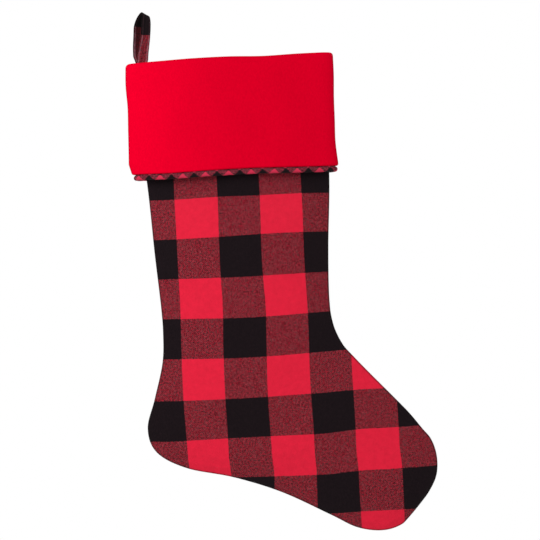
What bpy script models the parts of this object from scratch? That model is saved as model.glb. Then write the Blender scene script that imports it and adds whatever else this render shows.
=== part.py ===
"""Hanging stocking: a leg and foot of two flannel panels with a lining, a velour cuff turned down
over the mouth and edged with corded piping, and a folded strip that makes the hanging loop.

Own frame, in metres: the origin is where a hook touches the inside of the loop, +X points to the
toe, +Z is up and -Y is the front. Every sheet is given by the surface in the middle of its
thickness."""

import math

import bmesh
import bpy

MM = 0.001
FRONT, BACK = -1.0, 1.0

# Outline of the leg and foot in mm: heel side and shin side, from the mouth down to the toe. The
# last pair lies past the toe and only steers the curves.
OUTLINE = (
    ((-18.5, -55.0), (193.0, -55.0)),
    ((-10.0, -120.0), (191.0, -120.0)),
    ((-4.0, -185.0), (189.3, -190.0)),
    ((-0.2, -255.0), (184.8, -255.0)),
    ((3.5, -310.0), (182.9, -310.0)),
    ((4.2, -340.0), (185.5, -338.0)),
    ((1.9, -371.0), (194.2, -360.0)),
    ((-8.4, -409.0), (206.0, -375.0)),
    ((-17.4, -440.0), (220.0, -391.0)),
    ((-9.0, -465.5), (234.0, -406.5)),
    ((22.0, -483.6), (248.0, -422.0)),
    ((72.0, -496.1), (262.0, -438.0)),
    ((122.0, -514.5), (274.0, -454.0)),
    ((172.0, -540.9), (283.5, -467.0)),
    ((200.0, -556.0), (288.3, -485.0)),
    ((227.0, -560.5), (286.6, -505.2)),
    ((249.0, -554.2), (276.2, -524.3)),
    ((264.0, -539.0), (261.8, -541.3)),
)
TOE = len(OUTLINE) - 2
TAPER_START = 9.0          # outline pair where the foot starts to thin towards the toe
LEG_SHAPE_START = 3.0      # outline pair where the rounder mouth has become the flatter leg

PANEL_THICK = 1.1 * MM
PANEL_DEPTH = 15.0 * MM    # from the side seam's plane to the middle of a panel
LINING_THICK = 0.5 * MM
LINING_DEPTH = 13.5 * MM
LINING_INSET = (3.0 * MM, 5.0 * MM)        # at the mouth, and from the second pair down
LINING_END = TOE - 0.4
SEAM_GAP = 0.25 * MM       # from the seam's plane to the edge of each half

CUFF_THICK = 1.8 * MM
CUFF_TOP = -50.2 * MM
CUFF_HEM = -168.0 * MM
CUFF_LEFT = -21.9 * MM
CUFF_RIGHT = (199.6 * MM, 199.8 * MM)      # at the top and at the hem
CUFF_DEPTH = (20.7 * MM, 26.2 * MM)        # of the skirt's middle surface, at the top and the hem
FOLD_RISE = 4.6 * MM
TURN_IN = 5.8 * MM
TURN_IN_LEFT = -12.5 * MM
TURN_IN_SLANT = 0.14       # the turned-in edge follows the heel side of the bag inward
TURN_IN_RIGHT = 185.5 * MM
TURN_IN_DEPTH = 9.6 * MM

FACING_THICK = 0.6 * MM
FACING_TOP = -60.0 * MM
FACING_HEM = -167.7 * MM
FACING_GAP = (0.5 * MM, 2.8 * MM)          # between velour and facing, at the top and the hem

PIPING_RADIUS = 2.9 * MM
PIPING_WALL = 0.4 * MM
PIPING_CORD_RADIUS = 1.7 * MM
PIPING_Z = -171.5 * MM
FLANGE_TOP = -162.5 * MM
FLANGE_GAP = 0.15 * MM     # from the middle of the piping to each leg of its flange

STRIP_WIDTH = 12.0 * MM
STRIP_THICK = 1.1 * MM
STRIP_LEAN = 0.083         # sideways shift of the strip for each metre of height
STRIP_TURN = math.radians(22.0)
LOOP_HALF_OPENING = 6.5 * MM
LOOP_WIDEST = -9.0 * MM
LOOP_END = -34.9 * MM
NECK_Z = (-35.2 * MM, -46.2 * MM)
TAB_Z = (-48.5 * MM, -64.0 * MM)
TAB_X = -3.6 * MM
TAB_WIDTH = 10.5 * MM      # slightly gathered where it is sewn in

THREAD_RADIUS = 0.25 * MM
RING_LIP = 0.7 * MM        # a ring's distance from the seam's plane, beside the seam
COLUMNS = 16               # columns of every sheet, so that the facets of nested layers line up


def wipe():
    for old in list(bpy.data.objects):
        bpy.data.objects.remove(old, do_unlink=True)


def collection(name):
    made = bpy.data.collections.new(name)
    bpy.context.scene.collection.children.link(made)
    return made


def material(name, colour, roughness):
    made = bpy.data.materials.new(name)
    made.use_nodes = True
    shader = made.node_tree.nodes["Principled BSDF"]
    shader.inputs["Base Color"].default_value = (*colour, 1.0)
    shader.inputs["Roughness"].default_value = roughness
    shader.inputs["Metallic"].default_value = 0.0
    return made


def mix(a, b, share):
    return a + (b - a) * share


def spline(points, at):
    """Catmull-Rom curve through 2D points, at counting them from 0."""
    i = min(int(at), len(points) - 2)
    t = at - i
    b, c = points[i], points[i + 1]
    a = points[i - 1] if i > 0 else [2 * p - q for p, q in zip(b, c)]
    d = points[i + 2] if i + 2 < len(points) else [2 * q - p for p, q in zip(b, c)]
    return [
        0.5 * (2 * q + (r - p) * t + (2 * p - 5 * q + 4 * r - s) * t**2 + (3 * q - p - 3 * r + s) * t**3)
        for p, q, r, s in zip(a, b, c, d)
    ]


def outline_pair(u, inset=0.0):
    """Heel-side and shin-side points of the outline in metres, moved in along the line between them."""
    heel = [c * MM for c in spline([pair[0] for pair in OUTLINE], u)]
    shin = [c * MM for c in spline([pair[1] for pair in OUTLINE], u)]
    share = inset / math.dist(heel, shin)
    return (
        [mix(h, s, share) for h, s in zip(heel, shin)],
        [mix(s, h, share) for h, s in zip(heel, shin)],
    )


def leg_crown(v, u):
    """Share of the full depth at v, from -1 on the heel side to 1 on the shin side."""
    share = min(u / LEG_SHAPE_START, 1.0)
    return max(1.0 - abs(v) ** mix(2.5, 2.0, share), 0.0) ** mix(0.6, 0.8, share)


def cuff_crown(v, power=0.48):
    return max(1.0 - abs(v) ** 2.5, 0.0) ** power


def bag_point(u, v, side, depth, lip, inset=0.0, end=TOE):
    """A point on one half of the bag: y is lip at the seam and lip + depth where it is fullest."""
    heel, shin = outline_pair(u, inset)
    towards_toe = max(0.0, (u - TAPER_START) / (end - TAPER_START))
    thinning = max(1.0 - towards_toe**3, 0.0) ** 0.8
    share = (1 + v) / 2
    x, z = (mix(h, s, share) for h, s in zip(heel, shin))
    return x, side * (lip + depth * thinning * leg_crown(v, u)), z


def cuff_drop(z):
    return (z - CUFF_TOP) / (CUFF_HEM - CUFF_TOP)


def skirt_point(z, v, side, inward, lip):
    """A point of the cuff's skirt, or of a layer that lies inward of the velour's middle."""
    drop = cuff_drop(z)
    left = CUFF_LEFT + CUFF_THICK / 2 + inward
    right = mix(*CUFF_RIGHT, drop) - CUFF_THICK / 2 - inward
    depth = mix(*CUFF_DEPTH, drop) - inward
    return mix(left, right, (1 + v) / 2), side * (lip + depth * cuff_crown(v)), z


def facing_inward(z):
    return CUFF_THICK / 2 + mix(*FACING_GAP, cuff_drop(z)) + FACING_THICK / 2


def add_object(name, mesh, finish, home):
    made = bpy.data.objects.new(name, mesh)
    made.data.materials.append(finish)
    home.objects.link(made)
    return made


def sheet(name, surface, along, thickness, finish, home, across=COLUMNS):
    """A sheet of cloth: a grid laid on surface(s, v), with s from 0 to 1 and v from -1 to 1, made
    thick on both sides. The columns crowd towards the side seams, where the sheet curves most."""
    grid = bmesh.new()
    bmesh.ops.create_grid(grid, x_segments=across, y_segments=along, size=1.0)
    for vert in grid.verts:
        v = math.sin(vert.co.x * math.pi / 2)
        vert.co = surface((1 - vert.co.y) / 2, v)
    mesh = bpy.data.meshes.new(name)
    grid.to_mesh(mesh)
    grid.free()
    mesh.shade_smooth()
    made = add_object(name, mesh, finish, home)
    solid = made.modifiers.new("Thickness", "SOLIDIFY")
    solid.thickness = thickness
    solid.offset = 0.0
    return made


def tube(name, points, radius, closed, finish, home, sides=4):
    """A thread or cord through the points."""
    curve = bpy.data.curves.new(name, "CURVE")
    curve.dimensions = "3D"
    curve.bevel_depth = radius
    curve.bevel_resolution = (sides - 4) // 2
    curve.use_fill_caps = not closed
    line = curve.splines.new("POLY")
    line.points.add(len(points) - 1)
    for spot, place in zip(line.points, points):
        spot.co = (*place, 1.0)
    line.use_cyclic_u = closed
    return add_object(name, curve, finish, home)


def round_the_bag():
    """Values of v and side, for a closed line along the front and back along the back. At the two
    side seams the side is 0, so the line crosses the seam's plane there."""
    for i in range(2 * COLUMNS):
        turn = math.pi * i / COLUMNS
        side = 0.0 if i % COLUMNS == 0 else math.copysign(1.0, -math.sin(turn))
        yield -math.cos(turn), side


def ring(z, inward):
    """A closed loop round the cuff at height z, inward of the velour's middle."""
    return [skirt_point(z, v, side, inward, RING_LIP) for v, side in round_the_bag()]


def lining_inset(u):
    return mix(*LINING_INSET, min(u / 2, 1.0))


def make_bag(home, flannel, cotton, thread):
    """The two plaid panels, the two lining panels and their seams."""
    panel_lip = PANEL_THICK / 2 + SEAM_GAP
    lining_lip = LINING_THICK / 2 + SEAM_GAP
    for side, word in ((FRONT, "front"), (BACK, "back")):
        sheet(f"{word}_panel",
              lambda s, v: bag_point(s * TOE, v, side, PANEL_DEPTH, panel_lip),
              22, PANEL_THICK, flannel, home)
        sheet(f"lining_{word}",
              lambda s, v: bag_point(s * LINING_END, v, side, LINING_DEPTH, lining_lip,
                                     lining_inset(s * LINING_END), LINING_END),
              16, LINING_THICK, cotton, home)
    seam_line("body_seam_thread", lambda u: 1.3 * MM, 0.15, TOE - 0.12, thread, home)
    seam_line("lining_seam_thread", lambda u: lining_inset(u) + 1.5 * MM, 0.3, LINING_END - 0.35,
              thread, home)


def seam_line(name, inset, start, end, thread, home):
    """Stitching down the heel side, round the toe and up the shin side, inside the edge."""
    steps = 22
    stations = [mix(start, end, i / steps) for i in range(steps + 1)]
    pairs = [outline_pair(u, inset(u)) for u in stations]
    down = [(heel[0], 0.0, heel[1]) for heel, shin in pairs]
    up = [(shin[0], 0.0, shin[1]) for heel, shin in reversed(pairs)]
    tube(name, down + up, THREAD_RADIUS, False, thread, home)


def make_cuff(home, velour, facing, thread):
    """Velour skirt, folded over the mouth and turned in, with a facing behind it."""
    fold_base = CUFF_TOP - CUFF_THICK / 2 - FOLD_RISE
    hem_rows, fold_rows, turn_rows = 5, 6, 2
    rows = hem_rows + fold_rows + turn_rows
    lip = CUFF_THICK / 2

    def velour_point(s, v, side):
        row = s * rows
        if row <= hem_rows:
            return skirt_point(mix(CUFF_HEM, fold_base, row / hem_rows), v, side, 0.0, lip)
        outer = skirt_point(fold_base, v, side, 0.0, lip)
        down = TURN_IN * max(0.0, row - hem_rows - fold_rows) / turn_rows
        inner = (mix(TURN_IN_LEFT + TURN_IN_SLANT * down, TURN_IN_RIGHT, (1 + v) / 2),
                 side * (lip + TURN_IN_DEPTH * cuff_crown(v, 0.6)))
        if down > 0:
            return (*inner, fold_base - down)
        turn = math.pi * (row - hem_rows) / fold_rows
        share = (1 - math.cos(turn)) / 2
        return (mix(outer[0], inner[0], share), mix(outer[1], inner[1], share),
                fold_base + FOLD_RISE * math.sin(turn))

    def facing_point(s, v, side):
        z = mix(FACING_TOP, FACING_HEM, s)
        return skirt_point(z, v, side, facing_inward(z), FACING_THICK / 2 + SEAM_GAP)

    for side, word in ((FRONT, "front"), (BACK, "back")):
        sheet(f"cuff_{word}", lambda s, v: velour_point(s, v, side), rows, CUFF_THICK, velour,
              home)
        sheet(f"cuff_facing_{word}", lambda s, v: facing_point(s, v, side), 5, FACING_THICK, facing,
              home)

    for word, v in (("left", -1.0), ("right", 1.0)):
        heights = [mix(-100 * MM, -153 * MM, i / 8) for i in range(9)]
        line = [skirt_point(z, v, FRONT, (CUFF_THICK + mix(*FACING_GAP, cuff_drop(z))) / 2, 0.0)
                for z in heights]
        tube(f"cuff_seam_thread_{word}", line, THREAD_RADIUS, False, thread, home)
    hem_line = -159.5 * MM
    tube("cuff_hem_thread",
         ring(hem_line, (CUFF_THICK + mix(*FACING_GAP, cuff_drop(hem_line))) / 2),
         THREAD_RADIUS, True, thread, home)


def mouth_line():
    """Closed loop between the panels and the lining, just under the edge of the mouth."""
    u, inset, lip = 0.06, 1.6 * MM, 0.5 * MM
    heel, shin = outline_pair(u, inset)
    depth = (PANEL_DEPTH + LINING_DEPTH) / 2
    return [(mix(heel[0], shin[0], (1 + v) / 2), side * (lip + depth * leg_crown(v, u)), heel[1])
            for v, side in round_the_bag()]


def make_piping(home, guides, cover, cord):
    """Bias strip wrapped round a cord, with the strip's two edges sewn up into the cuff."""
    hem_inward = (CUFF_THICK + FACING_GAP[1]) / 2
    path = ring(PIPING_Z, hem_inward)
    flange = FLANGE_TOP - PIPING_Z
    inner_radius = PIPING_RADIUS - PIPING_WALL

    def arc(radius, half_gap, count):
        """Points round the bead from its right to its left side, open by half_gap at the top."""
        opening = math.asin(half_gap / radius)
        return [(radius * math.sin(a), radius * math.cos(a))
                for a in (mix(opening, 2 * math.pi - opening, i / (count - 1)) for i in range(count))]

    outside = arc(PIPING_RADIUS, FLANGE_GAP + PIPING_WALL, 9)
    inside = arc(inner_radius, FLANGE_GAP, 8)
    wide, narrow = FLANGE_GAP + PIPING_WALL, FLANGE_GAP
    section = ([(wide, flange)] + outside + [(-wide, flange), (-narrow, flange)]
               + inside[::-1] + [(narrow, flange)])
    guide = bpy.data.curves.new("piping_section", "CURVE")
    guide.dimensions = "2D"
    line = guide.splines.new("POLY")
    line.points.add(len(section) - 1)
    for spot, (across, up) in zip(line.points, section):
        spot.co = (across, up, 0.0, 1.0)
    line.use_cyclic_u = True
    guide_object = bpy.data.objects.new("piping_section", guide)
    guide_object.hide_render = True
    guide_object.display_type = "WIRE"
    guides.objects.link(guide_object)

    wrapped = tube("piping_cover", path, 0.0, True, cover, home)
    wrapped.data.bevel_mode = "OBJECT"
    wrapped.data.bevel_object = guide_object
    wrapped.data.twist_mode = "Z_UP"
    tube("piping_cord", path, PIPING_CORD_RADIUS, True, cord, home, sides=6)


def loop_line(s):
    """Middle line of the open loop, y and z, for s from 0 at the front end to 1 at the back end."""
    top = STRIP_THICK / 2
    closed_gap = STRIP_THICK / 2 + 0.2 * MM
    half_opening = LOOP_HALF_OPENING + STRIP_THICK / 2
    turn = math.pi * (s - 0.5) * 2
    if abs(turn) <= math.pi / 2:
        return half_opening * math.sin(turn), mix(LOOP_WIDEST, top, math.cos(turn))
    share = (abs(turn) - math.pi / 2) / (math.pi / 2)
    ease = share * share * (3 - 2 * share)
    return math.copysign(mix(half_opening, closed_gap, ease), turn), mix(LOOP_WIDEST, LOOP_END, share)


def turned(x, y, angle):
    return x * math.cos(angle) - y * math.sin(angle), x * math.sin(angle) + y * math.cos(angle)


def make_loop(home, strip, thread):
    """The folded strip: an open loop, the neck where its strands meet, and the tab sewn in."""

    def loop_point(s, v):
        y, z = loop_line(s)
        x, y = turned(v * STRIP_WIDTH / 2, y, STRIP_TURN)
        return x + STRIP_LEAN * z, y, z

    def neck_point(s, v):
        z = mix(*NECK_Z, s)
        x, y = turned(v * STRIP_WIDTH / 2, 0.0, STRIP_TURN * (1 - s))
        return x + STRIP_LEAN * z, y, z

    doubled = 2 * STRIP_THICK + 0.2 * MM
    sheet("hanging_loop", loop_point, 28, STRIP_THICK, strip, home, across=2)
    sheet("loop_neck", neck_point, 5, doubled, strip, home, across=4)
    sheet("loop_tab", lambda s, v: (TAB_X + v * TAB_WIDTH / 2, 0.0, mix(*TAB_Z, s)), 3, doubled,
          strip, home, across=2)

    tack_size = (6.0 * MM, 0.5 * MM, 1.6 * MM)
    tack_y = -(doubled / 2 + 0.3 * MM + tack_size[1] / 2)
    bpy.ops.mesh.primitive_cube_add(size=1.0, location=(TAB_X, tack_y, -60.0 * MM))
    tack = bpy.context.object
    tack.name = "loop_bar_tack"
    tack.scale = tack_size
    bpy.ops.object.transform_apply(location=False, rotation=False, scale=True)
    tack.data.materials.append(thread)
    for old in list(tack.users_collection):
        old.objects.unlink(tack)
    home.objects.link(tack)
    rounded = tack.modifiers.new("Rounded", "BEVEL")
    rounded.width = 0.15 * MM
    rounded.segments = 1


def main():
    wipe()
    home = collection("hanging_stocking")
    guides = collection("guides")
    flannel = material("plaid_flannel", (0.22, 0.03, 0.04), 0.9)
    cotton = material("cotton_lining", (0.05, 0.01, 0.012), 0.85)
    velour = material("red_velour", (0.75, 0.004, 0.018), 0.8)
    facing = material("cuff_facing", (0.45, 0.01, 0.02), 0.85)
    bias = material("bias_plaid", (0.18, 0.02, 0.03), 0.9)
    filler = material("cotton_cord", (0.75, 0.72, 0.66), 0.9)
    thread = material("sewing_thread", (0.35, 0.01, 0.02), 0.6)
    strip = material("loop_strip", (0.06, 0.015, 0.018), 0.85)
    make_bag(home, flannel, cotton, thread)
    make_cuff(home, velour, facing, thread)
    tube("mouth_seam_thread", mouth_line(), THREAD_RADIUS, True, thread, home)
    make_piping(home, guides, bias, filler)
    make_loop(home, strip, thread)


main()
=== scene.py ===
"""Looks of the hanging stocking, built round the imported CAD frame. Metres, +Z up, -Y the front."""

import math

import bmesh
import bpy
import numpy as np
from mathutils import Matrix, Vector


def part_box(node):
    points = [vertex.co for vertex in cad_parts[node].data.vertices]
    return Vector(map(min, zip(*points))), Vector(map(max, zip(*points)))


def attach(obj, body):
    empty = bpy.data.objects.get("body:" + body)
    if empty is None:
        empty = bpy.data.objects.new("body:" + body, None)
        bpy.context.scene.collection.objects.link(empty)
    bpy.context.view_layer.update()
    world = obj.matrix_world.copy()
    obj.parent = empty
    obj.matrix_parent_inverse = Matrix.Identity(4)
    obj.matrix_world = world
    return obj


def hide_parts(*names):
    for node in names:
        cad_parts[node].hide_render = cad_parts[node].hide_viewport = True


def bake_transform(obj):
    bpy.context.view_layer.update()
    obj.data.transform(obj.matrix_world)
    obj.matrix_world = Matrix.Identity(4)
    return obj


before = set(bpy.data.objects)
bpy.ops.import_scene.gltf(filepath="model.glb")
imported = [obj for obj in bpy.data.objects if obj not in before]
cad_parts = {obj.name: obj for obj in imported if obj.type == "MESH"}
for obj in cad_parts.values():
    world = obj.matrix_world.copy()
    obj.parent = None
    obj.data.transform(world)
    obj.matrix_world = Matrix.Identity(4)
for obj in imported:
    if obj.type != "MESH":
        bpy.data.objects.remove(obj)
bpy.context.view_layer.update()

MM = 0.001
FRONT, BACK = -1.0, 1.0
HALVES = ((FRONT, "front"), (BACK, "back"))

# Outline of the leg and foot as the CAD cuts it, from the mouth down to the toe, in mm. The last
# point of each side lies past the toe and only steers the curve.
HEEL = MM * np.array((
    (-18.5, -55), (-10, -120), (-4, -185), (-0.2, -255), (3.5, -310), (4.2, -340), (1.9, -371),
    (-8.4, -409), (-17.4, -440), (-9, -465.5), (22, -483.6), (72, -496.1), (122, -514.5),
    (172, -540.9), (200, -556), (227, -560.5), (249, -554.2), (264, -539)))
SHIN = MM * np.array((
    (193, -55), (191, -120), (189.3, -190), (184.8, -255), (182.9, -310), (185.5, -338),
    (194.2, -360), (206, -375), (220, -391), (234, -406.5), (248, -422), (262, -438), (274, -454),
    (283.5, -467), (288.3, -485), (286.6, -505.2), (276.2, -524.3), (261.8, -541.3)))
TOE = len(HEEL) - 2  # the toe's place along the outline, whose points count from 0
TAPER_START = 9.0
LEG_SHAPE_START = 3.0
TOE_BULGE = 0.5 * MM  # the toe's rounding beyond the straight edge between its corners
TOE_BULGE_START = 13.0

PANEL_HALF = 0.55 * MM  # half of each cloth's thickness
PANEL_INSET = 0.45 * MM
PANEL_DEPTH = 15 * MM
PANEL_ROLL = 1.5 * MM  # radius of the turned cloth along the side seam
PANEL_GRID = (300, 97)  # rows and columns
SEAM_GAP = 0.08 * MM  # from the side seam's plane to the edge of each half
LINING_HALF = 0.25 * MM
LINING_INSET = 5 * MM
LINING_DEPTH = 13.5 * MM
LINING_ROLL = 0.6 * MM
LINING_GRID = (150, 49)
LINING_END = TOE - 0.4
OUTLINE_ROWS = 240
TOE_POINTS = 40

# Unevenness of the bag's cloth. Ripples are given as their height and wavelength.
SWELLS = ((0.9 * MM, 95 * MM), (0.35 * MM, 38 * MM))
SWELL_START = 30 * MM  # how far from the seam they are at their full height
GATHERS = (0.42 * MM, 9 * MM)
GATHER_START = 1.2 * MM
GATHER_FADE = 5 * MM
ALLOWANCE_RISE = 0.30 * MM  # of the panel over the seam allowance that lies under it
ALLOWANCE_START = 2 * MM
ALLOWANCE_END = (8 * MM, 10.5 * MM)
PLAID_WANDER = (0.8, 150)  # in mm

BODY_SEAM_INSET = 1.4 * MM
LINING_SEAM_INSET = LINING_INSET + 1.5 * MM
MOUTH_SEAM_AT = 0.06  # its place along the outline
MOUTH_SEAM_INSET = 1.6 * MM
MOUTH_SEAM_GAP = 0.5 * MM
MOUTH_SEAM_POINTS = 60
THREAD_RADIUS = 0.25 * MM
STITCH_LENGTH = 2.8 * MM
STITCH_POINTS = 5

VELOUR_HALF = 0.9 * MM
CUFF_TOP = -50.2 * MM
CUFF_HEM = -168.5 * MM
CUFF_LEFT = -21.9 * MM
CUFF_RIGHT = (199.6 * MM, 199.8 * MM)  # at its top and at its hem
CUFF_WIDTH = CUFF_RIGHT[1] - CUFF_LEFT
CUFF_DEPTH = (20.7 * MM, 26.2 * MM)
CUFF_ROLL = 1.8 * MM
CUFF_LIP = 0.3 * MM  # from the side seam's plane to the middle of the velour
CUFF_CROWN = 0.48
CUFF_COLS = 131
CUFF_ROWS = (8, 72, 26, 9)  # of the hem's roll, the skirt, the fold and the turn-in
FOLD_BASE = -55.7 * MM
FOLD_RISE = 4.6 * MM
FOLD_POWER = (2.0, 4.5)  # how square the fold is over the mouth, and at its right end
TURN_IN = 5.8 * MM
TURN_IN_LEFT = -12.5 * MM
TURN_IN_SLANT = 0.14
TURN_IN_RIGHT = 185.5 * MM
TURN_IN_DEPTH = 9.6 * MM
TURN_IN_CROWN = 0.6
HEM_ROLL = 1.1 * MM
HEM_SLOPE = 1.6 * MM  # how much lower the hem hangs on its right
EDGE_TUCK = (10.5 * MM, 3.3 * MM)  # height over which the left edge draws in, and how far
RIGHT_TUCK = (3 * MM, 0.6 * MM)
CUFF_RIPPLE = (0.9 * MM, 75 * MM)
HEM_RIPPLE = (0.30 * MM, 75 * MM)  # shared by both halves
HEM_HALF_RIPPLE = (0.30 * MM, 60 * MM)
TOP_RIPPLE = (0.5 * MM, 40 * MM)

# How far the cuff's edges stand off their even lines, in mm, at even steps along them.
HEM_LINE = (0.2, 1.4, 1.4, -0.4, 0.2, 0.6, 0.9, 0.3)
TOP_LINE = (-1.0, -0.5, 0.3, 0.3, -1.1, -0.2, 0.4)
LEFT_LINE = (1.1, 0.0, 0.9, 0.2, -0.5, -1.5)
RIGHT_LINE = (0.7, 0.5, -0.6, -1.0, -1.5, 0.2)

FACING_HALF = 0.3 * MM
FACING_Z = (-60 * MM, -167.7 * MM)
FACING_GAP = (0.5 * MM, 2.8 * MM)  # between velour and facing, at the top and at the hem
FACING_ROLL = 0.5 * MM
FACING_LIP = FACING_HALF + 0.25 * MM
FACING_GRID = (40, 61)
SIDE_SEAM_Z = (-100 * MM, -153 * MM)
SIDE_SEAM_POINTS = 9
HEM_SEAM_Z = -159.5 * MM

RING_POINTS = 420  # of a line round the cuff
RING_LIP = 0.7 * MM
PIPING_RADIUS = 2.75 * MM
PIPING_WALL = 0.4 * MM
PIPING_Z = -171.85 * MM
PIPING_INWARD = 2.3 * MM
PIPING_STEP = 1.05 * MM
PIPING_PATTERN = -0.9 * MM
PIPING_START = 10.1 * MM  # and along it
PIPING_REPEAT = 24 * MM  # about how often the check repeats along it
PIPING_FOLDS = 12.4 * MM  # about how often the bead puckers along it
PIPING_SWELL = 0.10 * MM
PIPING_RIPPLE = (0.10 * MM, 14 * MM)
FLANGE_TOP = -162.5 * MM
FLANGE_GAP = 0.15 * MM
CORD_RADIUS = 1.6 * MM
CORD_LAY = 14 * MM  # about the length of one turn of its three strands

STRIP_HALF = 0.55 * MM
STRIP_WIDTH = 12 * MM
STRIP_LEAN = 0.083
STRIP_COLS = 21
STRIP_CROWDING = 0.6
STRIP_GATHER = (-49 * MM, -53 * MM)  # where it narrows to the width of the tab
LOOP_TURN = math.radians(38.0)
LOOP_TURN_ENDS = (-20 * MM, -58 * MM)  # where that turn fades out
STRAND_Y = 0.75 * MM  # where the two strands lie against each other
STRAND_SHIFT = 1.8 * MM  # how far each is shifted across
STRAND_ASKEW = (-18 * MM, -38 * MM)  # where that sets in
STRAND_STRAIGHT = {FRONT: (-47 * MM, -53 * MM), BACK: (-42 * MM, -51 * MM)}  # where it ends
STRAND_NUDGE = {FRONT: -0.3 * MM, BACK: -0.8 * MM}
LOOP_HALF_OPENING = 7.2 * MM
LOOP_WIDEST = -14 * MM
LOOP_TOP = 0.45 * MM  # of the middle of its thickness, half way across it
LOOP_CREST = 4 * MM  # how far in front of its own middle the loop folds over
LOOP_SLANT = 0.33  # rise of its left edge above its right edge there, over its width
LOOP_PINCH = 0.28  # how much narrower the strip is there
LOOP_CLOSING = (-15 * MM, -47 * MM)
LOOP_JOIN = -41 * MM  # where the upper and the lower piece of the strip meet
TAB_END = -64 * MM
TAB_X = -3.6 * MM
TAB_WIDTH = 10.5 * MM
ARCH_ROWS = 51
STRAND_ROWS = 70
TAIL_ROWS = 30
TACK_PASSES = 13
TACK_STEP = 0.3 * MM
INNER_SIDE = 50 * MM  # how far the places of the strip's inner side are set apart

# Seeds of the ripples, by side where the two halves differ.
BAG_SEED = {FRONT: 11, BACK: 31}
PLAID_SEED = 5
HEM_HALF_SEED = {FRONT: 41, BACK: 42}
HEM_SEED = 43
TOP_SEED = 46
CUFF_SEED = {FRONT: 51, BACK: 52}
PIPING_SEED = 61


# ---------------- shape functions

def mix(a, b, share):
    return a + (b - a) * share


def between(value, start, end):
    """0 up to start and 1 from end on, smoothly between. start may be the larger."""
    share = np.clip((value - start) / (end - start), 0.0, 1.0)
    return share * share * (3 - 2 * share)


def unit(vectors):
    return vectors / np.linalg.norm(vectors, axis=-1, keepdims=True)


def together(*parts):
    """Points from their coordinates, each a number or a grid."""
    return np.stack(np.broadcast_arrays(*parts), axis=-1)


def hump(value, middle, width):
    """1 at the middle, fading out to both sides over about the width."""
    return np.exp(-((value - middle) / width) ** 2)


RIPPLE_WAVES = 10
RIPPLE_PEAK = 1.6  # about how far the sum of the waves goes beyond the height wanted


def ripples(x, y, size, seed):
    """Uneven waves over a surface, the same on each run. size is their height and wavelength."""
    height, wavelength = size
    draw = np.random.default_rng(seed)
    total = 0.0
    for _ in range(RIPPLE_WAVES):
        angle, phase, stretch = draw.uniform((0, 0, 0.7), (2 * math.pi, 2 * math.pi, 1.5))
        wave = 2 * math.pi / (wavelength * stretch)
        total = total + np.sin(wave * (x * math.cos(angle) + y * math.sin(angle)) + phase)
    return height * (total * math.sqrt(2 / RIPPLE_WAVES) / RIPPLE_PEAK)


def crowded(count, share=0.75):
    """Values from -1 to 1 that crowd towards both ends."""
    even = np.linspace(-1, 1, count)
    return mix(even, np.sin(even * math.pi / 2), share)


def edge_roll(distance, radius):
    """Rise of a cloth that starts with a quarter turn at its seam."""
    left = 1 - np.clip(distance / radius, 0, 1)
    return radius * np.sqrt(1 - left * left)


def curve(points, at):
    """Catmull-Rom curve through points, at counting them from 0."""
    at = np.asarray(at, float)
    ends = np.vstack([2 * points[0] - points[1], points, 2 * points[-1] - points[-2]])
    i = np.clip(at.astype(int), 0, len(points) - 2)
    t = (at - i)[..., None]
    a, b, c, d = (ends[i + k] for k in range(4))
    return 0.5 * (2 * b + (c - a) * t + (2 * a - 5 * b + 4 * c - d) * t**2
                  + (3 * b - a - 3 * c + d) * t**3)


def length_along(points):
    steps = np.linalg.norm(np.diff(points, axis=0), axis=-1)
    return np.concatenate([np.zeros_like(steps[:1]), np.cumsum(steps, axis=0)])


def spread(points, step, closed=False):
    """The same line with points an even step apart, and the length at each."""
    if closed:
        points = np.vstack([points, points[:1]])
    along = length_along(points)
    count = max(3, int(round(along[-1] / step)))
    at = np.linspace(0, along[-1], count + 1)
    even = np.stack([np.interp(at, along, points[:, k]) for k in range(3)], axis=1)
    return (even[:-1], at[:-1]) if closed else (even, at)


def nearest_on(points, line):
    """How far each 2D point is from a line of points, and how far along the line that is."""
    flat = points.reshape(-1, 2)
    starts, steps = line[:-1], np.diff(line, axis=0)
    lengths = np.linalg.norm(steps, axis=1)
    least = np.full(len(flat), np.inf)
    where = np.zeros(len(flat))
    for start, step, length, far in zip(starts, steps, lengths, length_along(line)):
        share = np.clip((flat - start) @ step / length**2, 0, 1)
        distance = np.linalg.norm(flat - start - share[:, None] * step, axis=1)
        closer = distance < least
        least[closer] = distance[closer]
        where[closer] = far + share[closer] * length
    shape = points.shape[:-1]
    return least.reshape(shape), where.reshape(shape)


# ---------------- meshes

def add_object(name, data):
    made = bpy.data.objects.new(name, data)
    bpy.context.scene.collection.objects.link(made)
    return made


def make_piece(name, points, faces, uv, material):
    """A mesh piece with its faces pointing out. uv holds a place on the flat cloth, in metres,
    for each point."""
    mesh = bpy.data.meshes.new(name)
    mesh.from_pydata(points.tolist(), [], faces)
    solid = bmesh.new()
    solid.from_mesh(mesh)
    if solid.calc_volume(signed=True) < 0:
        bmesh.ops.reverse_faces(solid, faces=solid.faces)
    solid.to_mesh(mesh)
    solid.free()
    layer = mesh.uv_layers.new(name="cloth")
    corners = np.empty(len(mesh.loops), dtype=np.int32)
    mesh.loops.foreach_get("vertex_index", corners)
    layer.data.foreach_set("uv", uv[corners].astype(np.float32).ravel())
    mesh.shade_smooth()
    mesh.materials.append(material)
    return add_object(name, mesh)


def grid_faces(rows, cols, start=0, close_rows=False, close_cols=False):
    down = rows if close_rows else rows - 1
    over = cols if close_cols else cols - 1
    faces = []
    for r in range(down):
        below = (r + 1) % rows
        for c in range(over):
            beside = (c + 1) % cols
            faces.append((start + r * cols + c, start + r * cols + beside,
                          start + below * cols + beside, start + below * cols + c))
    return faces


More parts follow.
